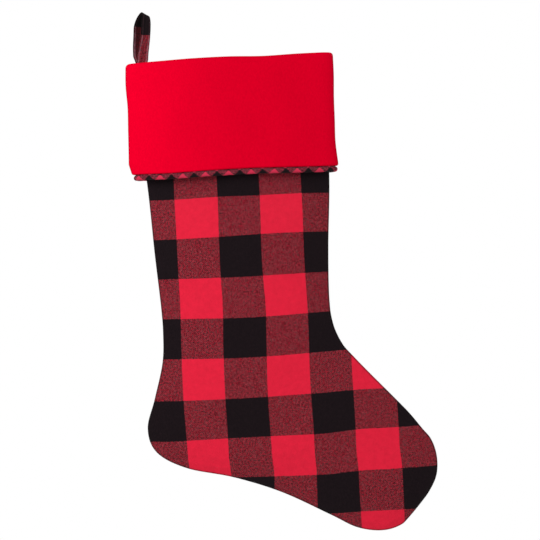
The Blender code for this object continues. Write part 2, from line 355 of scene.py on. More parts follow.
def sheet_mesh(middle, half, start=0):
    """Points and faces of a closed sheet. middle is a grid of points, rows by columns, in the
    middle of its thickness, and half is half the thickness."""
    rows, cols = middle.shape[:2]
    normal = unit(np.cross(np.gradient(middle, axis=1), np.gradient(middle, axis=0)))
    offset = normal * np.broadcast_to(half, (rows, cols))[..., None]
    points = np.concatenate([(middle + offset).reshape(-1, 3), (middle - offset).reshape(-1, 3)])
    count = rows * cols
    faces = grid_faces(rows, cols, start)
    faces += [face[::-1] for face in grid_faces(rows, cols, start + count)]
    index = start + np.arange(count).reshape(rows, cols)
    for rim in (index[:, 0], index[:, -1][::-1], index[0][::-1], index[-1]):
        for a, b in zip(rim[:-1].tolist(), rim[1:].tolist()):
            faces.append((a, b, b + count, a + count))
    return points, faces


def sheet(name, middle, half, uv, material, apart=0.0):
    """A sheet as one piece. apart sets the places of its one side off from those of the other."""
    points, faces = sheet_mesh(middle, half)
    flat = uv.reshape(-1, 2)
    return make_piece(name, points, faces, np.concatenate([flat, flat + (apart, 0)]), material)


STEEP = 0.9  # cosine to the vertical from which a rod counts as upright
ROD_END = 0.3  # of its radius, at the ends
LAY_GROOVE = 0.14  # depth of the grooves between a cord's strands, of its radius


def rod(name, line, radius, sides, material, closed=False, lobes=0, twist=1.0):
    """A round rod along a line, with narrowed ends. lobes and twist give the strands of a laid
    cord: lobes of them, turning once in every twist metres."""
    if closed:
        along = np.roll(line, -1, axis=0) - np.roll(line, 1, axis=0)
    else:
        along = np.gradient(line, axis=0)
    along = unit(along)
    up = np.where(np.abs(along[:, 2:3]) < STEEP, [[0.0, 0.0, 1.0]], [[0.0, 1.0, 0.0]])
    across = unit(np.cross(along, up))
    up = np.cross(across, along)
    turn = np.linspace(0, 2 * math.pi, sides, endpoint=False)
    reach = np.full((len(line), sides), radius)
    at = length_along(line)
    if lobes:
        strands = np.abs(np.sin(lobes / 2 * (turn + 2 * math.pi * at[:, None] / twist)))
        reach = radius * mix(1 - LAY_GROOVE, 1, strands)
    if not closed:
        reach[[0, -1]] *= ROD_END
    points = (line[:, None] + across[:, None] * (reach * np.cos(turn))[..., None]
              + up[:, None] * (reach * np.sin(turn))[..., None])
    faces = grid_faces(len(line), sides, 0, closed, True)
    if not closed:
        last = (len(line) - 1) * sides
        faces += [tuple(range(sides))[::-1], tuple(range(last, last + sides))]
    uv = together(at[:, None], np.arange(sides) * radius)
    return make_piece(name, points.reshape(-1, 3), faces, uv.reshape(-1, 2), material)


def stitched(name, line, sway, closed=False):
    """A lockstitch thread: it follows the line and passes to and fro through the layers. sway is
    how far it goes to each side of the line, front to back."""
    even, at = spread(line, STITCH_LENGTH / STITCH_POINTS, closed)
    swing = np.sin(math.pi * at / STITCH_LENGTH)[:, None] * np.array((0, sway, 0))
    return rod(name, even + swing, THREAD_RADIUS, 5, THREAD, closed)


# ---------------- materials

class Finish:
    """A node material, with short calls for the nodes it is made of. Sizes are in metres."""

    def __init__(self, name, roughness, specular=0.1, sheen=0.0, sheen_roughness=0.4,
                 sheen_tint=(1, 1, 1)):
        self.material = bpy.data.materials.new(name)
        self.material.use_nodes = True
        self.tree = self.material.node_tree
        self.shader = self.tree.nodes["Principled BSDF"].inputs
        self.shader["Roughness"].default_value = roughness
        self.shader["Specular IOR Level"].default_value = specular
        if sheen:
            self.shader["Sheen Weight"].default_value = sheen
            self.shader["Sheen Roughness"].default_value = sheen_roughness
            self.shader["Sheen Tint"].default_value = (*sheen_tint, 1.0)
        self.flat = self.add("ShaderNodeUVMap", uv_map="cloth").outputs["UV"]
        self.place = self.add("ShaderNodeTexCoord").outputs["Object"]

    def add(self, kind, inputs=(), **settings):
        node = self.tree.nodes.new(kind)
        for key, value in settings.items():
            setattr(node, key, value)
        for key, value in dict(inputs).items():
            if isinstance(value, bpy.types.NodeSocket):
                self.tree.links.new(value, node.inputs[key])
            else:
                node.inputs[key].default_value = value
        return node

    def math(self, operation, *values, clamp=False):
        node = self.add("ShaderNodeMath", enumerate(values), operation=operation, use_clamp=clamp)
        return node.outputs[0]

    def times(self, a, b):
        return self.math("MULTIPLY", a, b)

    def plus(self, a, b, clamp=False):
        return self.math("ADD", a, b, clamp=clamp)

    def graded(self, value, gain, shift):
        return self.math("MULTIPLY_ADD", value, gain, shift)

    def sine(self, value, wavelength):
        return self.math("SINE", self.times(value, 2 * math.pi / wavelength))

    def lines(self, value, wavelength):
        """0 to 1 pattern of lines that are a wavelength apart."""
        return self.graded(self.sine(value, wavelength), 0.5, 0.5)

    def vector(self, operation, a, b):
        """A vector node's result. b is a number or its socket for SCALE, and else a vector."""
        key = "Scale" if operation == "SCALE" else 1
        return self.add("ShaderNodeVectorMath", {0: a, key: b}, operation=operation).outputs[0]

    def parts(self, vector):
        return self.add("ShaderNodeSeparateXYZ", {0: vector}).outputs

    def blend(self, share, a, b):
        """Colour a where share is 0 and b where it is 1."""
        a, b = ((*c, 1.0) if isinstance(c, tuple) else c for c in (a, b))
        node = self.add("ShaderNodeMix", {0: share, 6: a, 7: b}, data_type="RGBA")
        return node.outputs[2]

    def ramp(self, value, low, high, bottom=0.0, top=1.0):
        """value from low to high as bottom to top, smoothly."""
        node = self.add("ShaderNodeMapRange", enumerate((value, low, high, bottom, top)),
                        interpolation_type="SMOOTHSTEP")
        return node.outputs[0]

    def noise(self, size, detail=2.0, vector=None, stretch=None, roughness=0.5):
        """Noise with blobs of about this size."""
        vector = vector or self.place
        if stretch:
            vector = self.vector("MULTIPLY", vector, stretch)
        node = self.add("ShaderNodeTexNoise", {
            "Vector": vector, "Scale": 0.5 / size, "Detail": detail, "Roughness": roughness})
        return node.outputs[0]

    def bump(self, *heights):
        """Relief from heights in metres, given as pairs of a 0 to 1 pattern and its height."""
        below = None
        for pattern, height in heights:
            wanted = {"Height": pattern, "Distance": height, "Strength": 1.0}
            if below:
                wanted["Normal"] = below
            below = self.add("ShaderNodeBump", wanted).outputs[0]
        self.tree.links.new(below, self.shader["Normal"])

    def colour(self, socket):
        self.tree.links.new(socket, self.shader["Base Color"])


# Looks of the check. A grade is a gain and a shift of a pattern, and a ramp goes from one value of
# a pattern to another, and may say between which results.
RED_YARN = (0.432, 0.0078, 0.025)
BLACK_YARN = (0.0040, 0.0021, 0.0030)
FUZZ = (0.42, 0.23, 0.245)
STRIPE_EDGE = 0.006  # of a repeat, over which yarns of one colour give way to the other
WAVER_SCALE = 900.0  # how finely the edges of the checks waver
WAVER = 1.1 * MM
TWILL_SHOWS = 0.30  # the twill's part in which colour shows where both are woven in
HEATHER_GRADE = (2.0, -0.77)
FLECK_GRADE = (1.5, -0.80)
TONE_GRADE = (0.36, 0.82)
HAZE_RAMP = (0.36, 0.74, 0.0, 0.10)
HAZE_GRADE = (0.85, 0.06)  # of the fuzz that shows: mixed checks have more than plain ones
# painted shade: the flannel darkens within 2 mm of the side seam, as if its turned edge lay in shade
SEAM_SHADE_RAMP = (0.5 * MM, 2 * MM, 0.45, 1.0)

# Painted light and shade of the folded strip: light and shade of its creases, shade at its margins
# and on its inner side, and a highlight along its folded edges. Its margins and highlights go by the
# distance from its middle.
CREASE_LIGHT_RAMP = (0.3, 0.7, 0.62, 1.38)
INNER_SHADE_RAMP = (0.4 * INNER_SIDE, 0.6 * INNER_SIDE, 1.0, 0.38)
# painted shade on the strip's outer margins
MARGIN_SHADE_RAMP = (4.8 * MM, 5.6 * MM, 1.0, 0.45)
# painted highlight: a pale line along the strip's folded edges
HIGHLIGHT_COLOUR = (0.42, 0.20, 0.25)
HIGHLIGHT_START = (3 * MM, 4 * MM)
HIGHLIGHT_END = (4.5 * MM, 5.3 * MM, 1.0, 0.0)
HIGHLIGHT_PATCHES = (0.35, 0.65, 0.12, 0.30)
HIGHLIGHT_GRADE = (0.85, 0.15)

# Looks of the velour, with painted light towards the cuff's left and right, and painted shade along
# its top fold and side seams.
VELOUR_DARK = (0.367, 0.0, 0.0090)
VELOUR_LIGHT = (0.475, 0.0, 0.0125)
PATCHES_SHARE = 0.25
LAY_SHARE = 0.15
# painted light: the velour brightens towards the cuff's left and towards its right edge
PAINTED_LIGHT_LEFT = (CUFF_LEFT, 100 * MM, 0.66, 0.0)
PAINTED_LIGHT_RIGHT = (150 * MM, CUFF_RIGHT[0], 0.0, 0.5)
CREASE_SHADE = 0.62  # painted shade along the top fold and the side seams, where the velour turns away from the light
FOLD_SHADE_SPAN = (-1.8 * MM, -0.4 * MM)
SEAM_SHADE_WIDTH = 1.6 * MM
SPECKLE_RAMP = (0.3, 0.7, 0.93, 1.07)


def stripe(finish, value, offset, pitch):
    """1 where the yarns are red: every second stripe of this pitch, from offset."""
    phase = finish.math("FRACT", finish.math("DIVIDE", finish.math("SUBTRACT", value, offset),
                                             2 * pitch))
    return finish.times(finish.ramp(phase, 0.0, STRIPE_EDGE),
                        finish.ramp(phase, 0.5, 0.5 + STRIPE_EDGE, 1.0, 0.0))


def wavering(finish):
    """Places on the flat cloth, slightly uneven."""
    noise = finish.add("ShaderNodeTexNoise", {"Vector": finish.flat, "Scale": WAVER_SCALE,
                                              "Detail": 1.0}).outputs["Color"]
    shift = finish.vector("SCALE", finish.vector("ADD", noise, (-0.5, -0.5, -0.5)), WAVER)
    return finish.vector("ADD", finish.flat, shift)


def checked_cloth(name, warp, weft, yarn, turned=False, red=RED_YARN, mixed_share=0.35,
                  heather_size=0.8 * MM, painted_light=None, seam_shading=False):
    """Brushed flannel woven in red and black. warp and weft are (offset, pitch) of the stripes along
    u and v, or a fixed 0 or 1. The last argument gives the cloth painted shade in a thin band where
    it turns in at its seam."""
    finish = Finish(name, roughness=0.92, specular=0.05, sheen=0.03, sheen_roughness=0.5,
                    sheen_tint=(1.0, 0.8, 0.8))
    places = wavering(finish)
    if turned:
        places = finish.add("ShaderNodeVectorRotate", {"Vector": places, "Angle": math.pi / 4},
                            rotation_type="Z_AXIS").outputs[0]
    u, v = finish.parts(places)[:2]
    red_warp = stripe(finish, u, *warp) if isinstance(warp, tuple) else warp
    red_weft = stripe(finish, v, *weft) if isinstance(weft, tuple) else weft
    over = finish.lines(finish.plus(u, v), 4 * yarn)  # the warp on top of a 2/2 twill
    heather = finish.noise(heather_size, 4.0, finish.flat, roughness=0.75)
    fleck = finish.noise(0.6 * MM, 1.0, finish.flat)
    shown = finish.plus(finish.times(over, TWILL_SHOWS), finish.graded(heather, *HEATHER_GRADE))
    shown = finish.plus(shown, finish.graded(fleck, *FLECK_GRADE), clamp=True)
    both = finish.times(red_warp, red_weft)
    either = finish.math("MAXIMUM", red_warp, red_weft)
    mixed = finish.math("SUBTRACT", either, both)
    share = finish.graded(finish.times(shown, mixed_share * 2), mixed, both)
    colour = finish.blend(share, BLACK_YARN, red)
    tone = finish.noise(3.2 * MM, 3.0, finish.flat, roughness=0.65)
    colour = finish.vector("SCALE", colour, finish.graded(tone, *TONE_GRADE))
    nap = finish.noise(0.7 * MM, 4.0, stretch=(1.0, 1.0, 0.6), roughness=0.7)
    haze = finish.times(finish.ramp(nap, *HAZE_RAMP), finish.graded(mixed, *HAZE_GRADE))
    colour = finish.blend(haze, colour, FUZZ)
    # painted light and shade, for a cloth that is given it
    if painted_light:
        colour = painted_light(finish, colour, mixed)
    # painted shade along the seam, set by each point's distance from it
    if seam_shading:
        edge = finish.add("ShaderNodeAttribute", attribute_name="from_seam").outputs["Fac"]
        colour = finish.vector("SCALE", colour, finish.ramp(edge, *SEAM_SHADE_RAMP))
    finish.colour(colour)
    finish.bump((over, 0.10 * MM), (nap, 0.35 * MM), (tone, 0.5 * MM))
    return finish.material


def strip_light_and_shade(finish, colour, mixed):
    """Painted light and shade on the folded strip: lighter and darker lengthwise creases, painted
    shade at its margins and on its inner side, whose places lie INNER_SIDE further across, and a
    pale painted highlight along its folded edges."""
    place = finish.parts(finish.flat)[0]
    across = finish.math("ABSOLUTE", finish.math("WRAP", place, INNER_SIDE / 2, -INNER_SIDE / 2))
    # painted light and shade of lengthwise creases, from stretched noise
    creases = finish.noise(1.6 * MM, 2.0, finish.flat, stretch=(1.0, 0.07, 1.0))
    # painted shade on the inner side, and on the margins that turn away from the light
    shade = finish.times(finish.ramp(place, *INNER_SHADE_RAMP), finish.ramp(across, *MARGIN_SHADE_RAMP))
    colour = finish.vector("SCALE", colour,
                           finish.times(finish.ramp(creases, *CREASE_LIGHT_RAMP), shade))
    # painted highlight: a pale, patchy line along each folded edge, stronger on mixed checks
    patchy = finish.noise(2.5 * MM, 3.0, finish.flat, roughness=0.7)
    line = finish.times(finish.ramp(across, *HIGHLIGHT_START), finish.ramp(across, *HIGHLIGHT_END))
    line = finish.times(line, finish.ramp(patchy, *HIGHLIGHT_PATCHES))
    line = finish.times(line, finish.graded(mixed, *HIGHLIGHT_GRADE))
    return finish.blend(line, colour, HIGHLIGHT_COLOUR)


def velour(name):
    """Cotton velour: saturated red, with soft patches where the pile lies another way, painted light
    towards the left and right of the cuff, and painted shade along its top fold and side seams.
    Places on the cloth count from the middle between the side seams, and from the top fold."""
    finish = Finish(name, roughness=0.8, specular=0.0, sheen=0.12, sheen_roughness=0.3,
                    sheen_tint=(1.0, 0.04, 0.16))
    patches = finish.noise(30 * MM, 2.0)
    lay = finish.noise(8 * MM, 3.0, stretch=(1.0, 1.0, 0.5), roughness=0.6)
    pile = finish.noise(0.8 * MM, 3.0, stretch=(1.0, 1.0, 0.6), roughness=0.75)
    x = finish.parts(finish.place)[0]
    tone = finish.plus(finish.times(patches, PATCHES_SHARE), finish.times(lay, LAY_SHARE))
    # painted light towards the cuff's left and right, added to the pile's own patches
    tone = finish.plus(tone, finish.ramp(x, *PAINTED_LIGHT_LEFT))
    tone = finish.plus(tone, finish.ramp(x, *PAINTED_LIGHT_RIGHT), clamp=True)
    colour = finish.blend(tone, VELOUR_DARK, VELOUR_LIGHT)
    across, up = finish.parts(finish.flat)[:2]
    # painted shade where the velour turns over the top fold and in at the side seams
    fold_shade = finish.ramp(up, *FOLD_SHADE_SPAN, 1.0, CREASE_SHADE)
    side_seam_shade = finish.ramp(finish.math("ABSOLUTE", across), CUFF_WIDTH / 2 - SEAM_SHADE_WIDTH,
                          CUFF_WIDTH / 2, 1.0, CREASE_SHADE)
    # the pile's speckle, times the painted shade
    speckle_and_shade = finish.times(finish.ramp(pile, *SPECKLE_RAMP), finish.times(fold_shade, side_seam_shade))
    finish.colour(finish.vector("SCALE", colour, speckle_and_shade))
    finish.bump((pile, 0.30 * MM), (lay, 0.25 * MM))
    return finish.material


def plain_weave(name, dark, light, yarn):
    """A thin plain-woven cotton."""
    finish = Finish(name, roughness=0.85)
    waves = [finish.sine(part, 2 * yarn) for part in finish.parts(finish.flat)[:2]]
    weave = finish.graded(finish.times(*waves), 0.5, 0.5)
    slub = finish.noise(3 * MM, 3.0, finish.flat, stretch=(1.0, 0.25, 1.0))
    tone = finish.plus(finish.times(weave, 0.5), finish.times(slub, 0.5))
    finish.colour(finish.blend(tone, dark, light))
    finish.bump((weave, 0.12 * MM), (slub, 0.2 * MM))
    return finish.material


def spun(name, dark, light, fibre, roughness):
    """Twisted yarn: fine slanted lines along a thread or a cord."""
    finish = Finish(name, roughness, specular=0.2, sheen=0.15)
    lines = finish.lines(finish.plus(*finish.parts(finish.flat)[:2]), fibre)
    fuzz = finish.noise(0.5 * MM, 3.0, finish.flat)
    tone = finish.plus(finish.times(lines, 0.6), finish.times(fuzz, 0.4))
    finish.colour(finish.blend(tone, dark, light))
    finish.bump((lines, 0.06 * MM))
    return finish.material


BIAS_CHECK = 8.8 * MM
FLANNEL = checked_cloth("flannel", (22 * MM, 45.25 * MM), (-240.2 * MM, 42.8 * MM), 0.55 * MM,
                        seam_shading=True)
BIAS = checked_cloth("bias_flannel", (-BIAS_CHECK / 2, BIAS_CHECK), (-BIAS_CHECK / 2, BIAS_CHECK),
                     0.45 * MM, turned=True, red=(0.36, 0.017, 0.043), heather_size=0.9 * MM)
STRIP = checked_cloth("strip_flannel", 0.0, (17 * MM, 41 * MM), 0.5 * MM,
                      mixed_share=0.34, heather_size=0.9 * MM, painted_light=strip_light_and_shade)
VELOUR = velour("velour")
COTTON = plain_weave("lining_cotton", (0.035, 0.006, 0.008), (0.075, 0.012, 0.015), 0.5 * MM)
FACING = plain_weave("facing_cotton", (0.30, 0.006, 0.014), (0.48, 0.012, 0.025), 0.6 * MM)
CORD = spun("cord_cotton", (0.50, 0.46, 0.38), (0.80, 0.76, 0.68), 1.2 * MM, 0.85)
THREAD = spun("thread_red", (0.16, 0.006, 0.012), (0.42, 0.015, 0.03), 0.4 * MM, 0.6)


# ---------------- the bag

def rails(u, inset=0.0):
    """Heel-side and shin-side points of the outline, moved in along the line between them."""
    heel, shin = curve(HEEL, u), curve(SHIN, u)
    share = (inset / np.linalg.norm(shin - heel, axis=-1))[..., None]
    return mix(heel, shin, share), mix(shin, heel, share)


def leg_crown(v, u):
    """Share of the full depth across the bag: fuller at its sides near the mouth."""
    share = np.minimum(u / LEG_SHAPE_START, 1.0)
    return np.maximum(1 - np.abs(v) ** mix(2.5, 2.0, share), 0) ** mix(0.6, 0.8, share)


def bag_grid(u, v, inset, end, bulge):
    """Where rows u and columns v of the bag are, as x and z, and their share of the full depth."""
    heel, shin = rails(u, inset)
    share = (1 + v[None, :, None]) / 2
    flat = mix(heel[:, None], shin[:, None], share)
    edge = SHIN[TOE] - HEEL[TOE]
    outward = unit(together(edge[1], -edge[0]))
    late = between(u, TOE_BULGE_START, end)
    flat = flat + bulge * (late[:, None] * (1 - v * v)[None, :])[..., None] * outward
    towards_toe = np.maximum(0, (u - TAPER_START) / (end - TAPER_START))
    thinning = np.maximum(1 - towards_toe**3, 0) ** 0.8
    return flat, thinning[:, None] * leg_crown(v[None, :], u[:, None])


def even_rows(count, end):
    """Outline stations spread so that the rows are evenly spaced along the longer side."""
    fine = np.linspace(0, end, 2000)
    heel, shin = rails(fine)
    steps = np.maximum(*(np.linalg.norm(np.diff(side, axis=0), axis=1) for side in (heel, shin)))
    along = np.concatenate([[0.0], np.cumsum(steps)])
    return np.interp(np.linspace(0, along[-1], count), along, fine)


def seam_outline(inset, end, bulge):
    """The seam's line as x and z: down the heel side, round the toe and up the shin side."""
    heel, shin = rails(even_rows(OUTLINE_ROWS, end), inset)
    across = np.linspace(-1, 1, TOE_POINTS)
    toe, _ = bag_grid(np.array([0.0, end]), across, inset, end, bulge)
    return np.vstack([heel[:-1], toe[1], shin[-2::-1]])


def bag_half(side, inset, depth, end, bulge, roll, grid):
    """Middle surface of one panel or lining, with its edge turned at the seam and its cloth
    slightly uneven, and how far each point is from the seam."""
    rows, cols = grid
    seed = BAG_SEED[side]
    flat, crown = bag_grid(even_rows(rows, end), crowded(cols), inset, end, bulge)
    distance, along = nearest_on(flat, seam_outline(inset, end, bulge))
    x, z = flat[..., 0], flat[..., 1]
    rise = np.hypot(edge_roll(distance, roll), depth * crown)
    rise += between(distance, 0, SWELL_START) * sum(
        ripples(x, z, size, seed + number) for number, size in enumerate(SWELLS))
    gather = np.exp(-distance / GATHER_FADE) * between(distance, 0, GATHER_START)
    rise += gather * ripples(along, 0.0, GATHERS, seed + len(SWELLS))
    rise += ALLOWANCE_RISE * between(distance, 0, ALLOWANCE_START) * (
        1 - between(distance, *ALLOWANCE_END))
    return together(x, side * (SEAM_GAP + rise), z), distance


def plaid_place(middle):
    """Where each point lies on the cloth: the check follows the bag's own axes, but drifts by a
    few mm, as cloth that was eased when sewn. The numbers are places and distances in mm."""
    x, z = middle[..., 0] / MM, middle[..., 2] / MM
    leg = between(z, -360, -300) * hump(x, 75, 55)
    foot = between(x, 165, 215) * hump(z, -465, 60)
    under_cuff = between(x, 60, 120) * between(z, -225, -200)
    heel_side = hump(x, 22, 16)
    sole = between(z, -470, -495)
    heel_edge = np.exp(-np.abs(x + 12) / 14)
    right = ripples(x, z, PLAID_WANDER, PLAID_SEED) - 2.5 * leg - 1.5 * sole - heel_side
    up = (ripples(x, z, PLAID_WANDER, PLAID_SEED + 1) - 1.2 * heel_edge - 3.6 * foot
          + 2.2 * under_cuff)
    return MM * together(x + right, z + up)


def make_bag():
    for side, word in HALVES:
        middle, from_seam = bag_half(side, PANEL_INSET, PANEL_DEPTH, TOE, TOE_BULGE, PANEL_ROLL,
                                     PANEL_GRID)
        panel = sheet(f"{word}_flannel", middle, PANEL_HALF, plaid_place(middle), FLANNEL)
        # distance from the seam, which sets the painted shade along it
        marks = panel.data.attributes.new("from_seam", "FLOAT", "POINT")
        marks.data.foreach_set("value", np.tile(from_seam.ravel(), 2).astype(np.float32))
        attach(panel, "stocking")
        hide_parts(f"{word}_panel")

        middle, _ = bag_half(side, LINING_INSET, LINING_DEPTH, LINING_END, 0.0, LINING_ROLL,
                             LINING_GRID)
        lining = sheet(f"{word}_lining", middle, LINING_HALF, middle[..., [0, 2]], COTTON)
        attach(lining, "stocking")
        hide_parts(f"lining_{word}")

    for node, inset, end in (("body_seam_thread", BODY_SEAM_INSET, TOE),
                             ("lining_seam_thread", LINING_SEAM_INSET, LINING_END)):
        x, z = seam_outline(inset, end, 0.0)[3:-3].T
        seam = stitched(node.replace("thread", "stitches"), together(x, 0.0, z), 0.7 * MM)
        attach(seam, "stocking")
        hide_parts(node)


# ---------------- the cuff

def cuff_crown(v, power=CUFF_CROWN):
    """Share of the full depth across the cuff."""
    return np.maximum(1 - np.abs(v) ** 2.5, 0) ** power


def cuff_drop(z):
    return (z - CUFF_TOP) / (CUFF_HEM - CUFF_TOP)


def wavy(at, span, line):
    """Smooth line through distances in mm that are evenly spaced over span."""
    place = np.interp(at, span, (0, len(line) - 1))
    return MM * curve(np.array(line)[:, None], place)[..., 0]


def hem_drop(x, v, side):
    """How far the hem hangs below its even height."""
    across = (x - CUFF_LEFT) / CUFF_WIDTH
    own = (1 - v * v) * ripples(x, 0.0, HEM_HALF_RIPPLE, HEM_HALF_SEED[side])
    return (HEM_SLOPE * across + wavy(x, (CUFF_LEFT, CUFF_RIGHT[1]), HEM_LINE)
            + ripples(x, 0.0, HEM_RIPPLE, HEM_SEED) + own)


def top_rise(x, v, side):
    """How far the fold stands above its even height."""
    line = wavy(x, (CUFF_LEFT, CUFF_RIGHT[0]), TOP_LINE)
    own = 0 if side == FRONT else ripples(x, 0.0, TOP_RIPPLE, TOP_SEED)
    return line + (1 - v * v) * own


def left_edge(z):
    """How far the cuff's left edge stands right of its straight line."""
    height, reach = EDGE_TUCK
    tuck = np.clip((CUFF_HEM + height - z) / height, 0, 1.5)
    return wavy(-z, (-CUFF_TOP, -CUFF_HEM), LEFT_LINE) + reach * tuck


def right_edge(z):
    """How far the cuff's right edge stands right of its straight line."""
    height, reach = RIGHT_TUCK
    tuck = np.clip((CUFF_HEM - z) / height, 0, 1)
    return wavy(-z, (-CUFF_TOP, -CUFF_HEM), RIGHT_LINE) - reach * tuck


def skirt(z, v, side, inward, lip=CUFF_LIP, roll=CUFF_ROLL):
    """Points of the cuff's skirt at height z, or of a layer that lies inward of the velour."""
    drop = cuff_drop(z)
    left = CUFF_LEFT + VELOUR_HALF + inward + left_edge(z)
    right = mix(*CUFF_RIGHT, drop) - VELOUR_HALF - inward + right_edge(z)
    x = mix(left, right, (1 + v) / 2)
    depth = mix(*CUFF_DEPTH, drop) - inward + ripples(x, z, CUFF_RIPPLE, CUFF_SEED[side])
    near_seam = np.minimum(x - left, right - x)
    y = side * (lip + np.hypot(edge_roll(near_seam, roll), depth * cuff_crown(v)))
    return together(x, y, z)


def turned_in(v, side, down):
    """Points of the part that hangs down inside the mouth, this far below the fold's base."""
    left = TURN_IN_LEFT + TURN_IN_SLANT * down
    y = side * (VELOUR_HALF + TURN_IN_DEPTH * cuff_crown(v, TURN_IN_CROWN))
    return together(mix(left, TURN_IN_RIGHT, (1 + v) / 2), y, FOLD_BASE - down)


def velour_half(side):
    """Middle surface of one half of the cuff, from the turned hem up over the mouth to the edge
    that is sewn to the bag."""
    v = crowded(CUFF_COLS)[None, :]
    guess = skirt(np.full((1, CUFF_COLS), CUFF_HEM), v, side, 0.0)[..., 0]
    hem = CUFF_HEM + VELOUR_HALF + HEM_ROLL - hem_drop(guess, v, side)
    hem_rows, skirt_rows, fold_rows, inner_rows = CUFF_ROWS
    turn = np.linspace(math.pi / 2, 0, hem_rows)[:-1, None]
    rolled = skirt(hem - HEM_ROLL * np.sin(turn), v, side, HEM_ROLL * (1 - np.cos(turn)))
    outer = skirt(mix(hem, FOLD_BASE, np.linspace(0, 1, skirt_rows)[:, None]), v, side, 0.0)

    turn = np.linspace(0, math.pi, fold_rows)[1:, None]
    power = 2 / mix(*FOLD_POWER, between(v, 0.8, 1.0))
    over = np.sign(np.cos(turn)) * np.abs(np.cos(turn)) ** power
    fold = mix(outer[-1:], turned_in(v, side, 0.0), ((1 - over) / 2)[..., None])
    fold[..., 2] += (FOLD_RISE + top_rise(fold[..., 0], v, side)) * np.abs(np.sin(turn)) ** power
    inner = turned_in(v, side, np.linspace(0, TURN_IN, inner_rows)[1:, None])
    return np.concatenate([rolled, outer, fold, inner])


def around_cuff(z_of, inward):
    """Closed line round the cuff, along the front and back along the back. z_of gives its height
    from x, v and side."""
    line = []
    for side in (FRONT, BACK):
        v = -side * crowded(RING_POINTS // 2 + 1)[None, :-1]
        z = np.full_like(v, PIPING_Z)
        for _ in range(3):
            place = skirt(z, v, side, inward, RING_LIP)
            z = z_of(place[..., 0], v, side)
        line.append(skirt(z, v, side, inward, RING_LIP)[0])
    return np.vstack(line)


def facing_inward(z):
    return VELOUR_HALF + mix(*FACING_GAP, cuff_drop(z)) + FACING_HALF


def layers_between(z):
    return VELOUR_HALF + mix(*FACING_GAP, cuff_drop(z)) / 2


def make_cuff():
    for side, word in HALVES:
        middle = velour_half(side)
        up = length_along(middle)
        up -= np.take_along_axis(up, middle[..., 2].argmax(axis=0)[None], axis=0)
        across = crowded(CUFF_COLS) * CUFF_WIDTH / 2
        outside = sheet(f"cuff_velour_{word}", middle, VELOUR_HALF, together(across, up), VELOUR)
        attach(outside, "cuff")
        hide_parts(f"cuff_{word}")

        rows, cols = FACING_GRID
        v = crowded(cols)[None, :]
        z = mix(*FACING_Z, np.linspace(0, 1, rows)[:, None])
        middle = skirt(z, v, side, facing_inward(z), FACING_LIP, FACING_ROLL)
        inside = sheet(f"cuff_lining_{word}", middle, FACING_HALF,
                       skirt(z, v, side, 0.0)[..., [0, 2]], FACING)
        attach(inside, "cuff")
        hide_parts(f"cuff_facing_{word}")

    for word, v in (("left", -1.0), ("right", 1.0)):
        z = np.linspace(*SIDE_SEAM_Z, SIDE_SEAM_POINTS)
        line = skirt(z, v, FRONT, layers_between(z))
        line[:, 1] = 0.0
        seam = stitched(f"cuff_side_stitches_{word}", line, 0.6 * MM)
        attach(seam, "cuff")
        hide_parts(f"cuff_seam_thread_{word}")

    line = around_cuff(lambda x, v, side: HEM_SEAM_Z - hem_drop(x, v, side),
                       layers_between(HEM_SEAM_Z))
    seam = stitched("cuff_hem_stitches", line, 0.4 * MM, closed=True)
    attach(seam, "cuff")
    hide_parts("cuff_hem_thread")


# ---------------- the piping and the mouth's seam

def bead(radius, gap, count):
    """Points round a tube's section that is open at its top by the gap to each side."""
    opening = math.asin(gap / radius)
    turn = np.linspace(opening, 2 * math.pi - opening, count)
    return radius * together(np.sin(turn), np.cos(turn))


def piping_section():
    """Points of the folded strip's section, as outward and up from the middle of the bead, and how
    many of them are on its outer side. They go down one flange, round the bead and up the other,
    first along the outer side and then back along the inner side."""
    wide = FLANGE_GAP + PIPING_WALL
    flange = np.linspace(FLANGE_TOP - PIPING_Z, PIPING_RADIUS + 0.3 * MM, 5)[:, None] * (0, 1)
    outer = [flange + (wide, 0), bead(PIPING_RADIUS, wide, 30), flange[::-1] + (-wide, 0)]
    inner = [flange + (-FLANGE_GAP, 0), bead(PIPING_RADIUS - PIPING_WALL, FLANGE_GAP, 24)[::-1],
             flange[::-1] + (FLANGE_GAP, 0)]
    return np.vstack(outer + inner), sum(len(part) for part in outer)


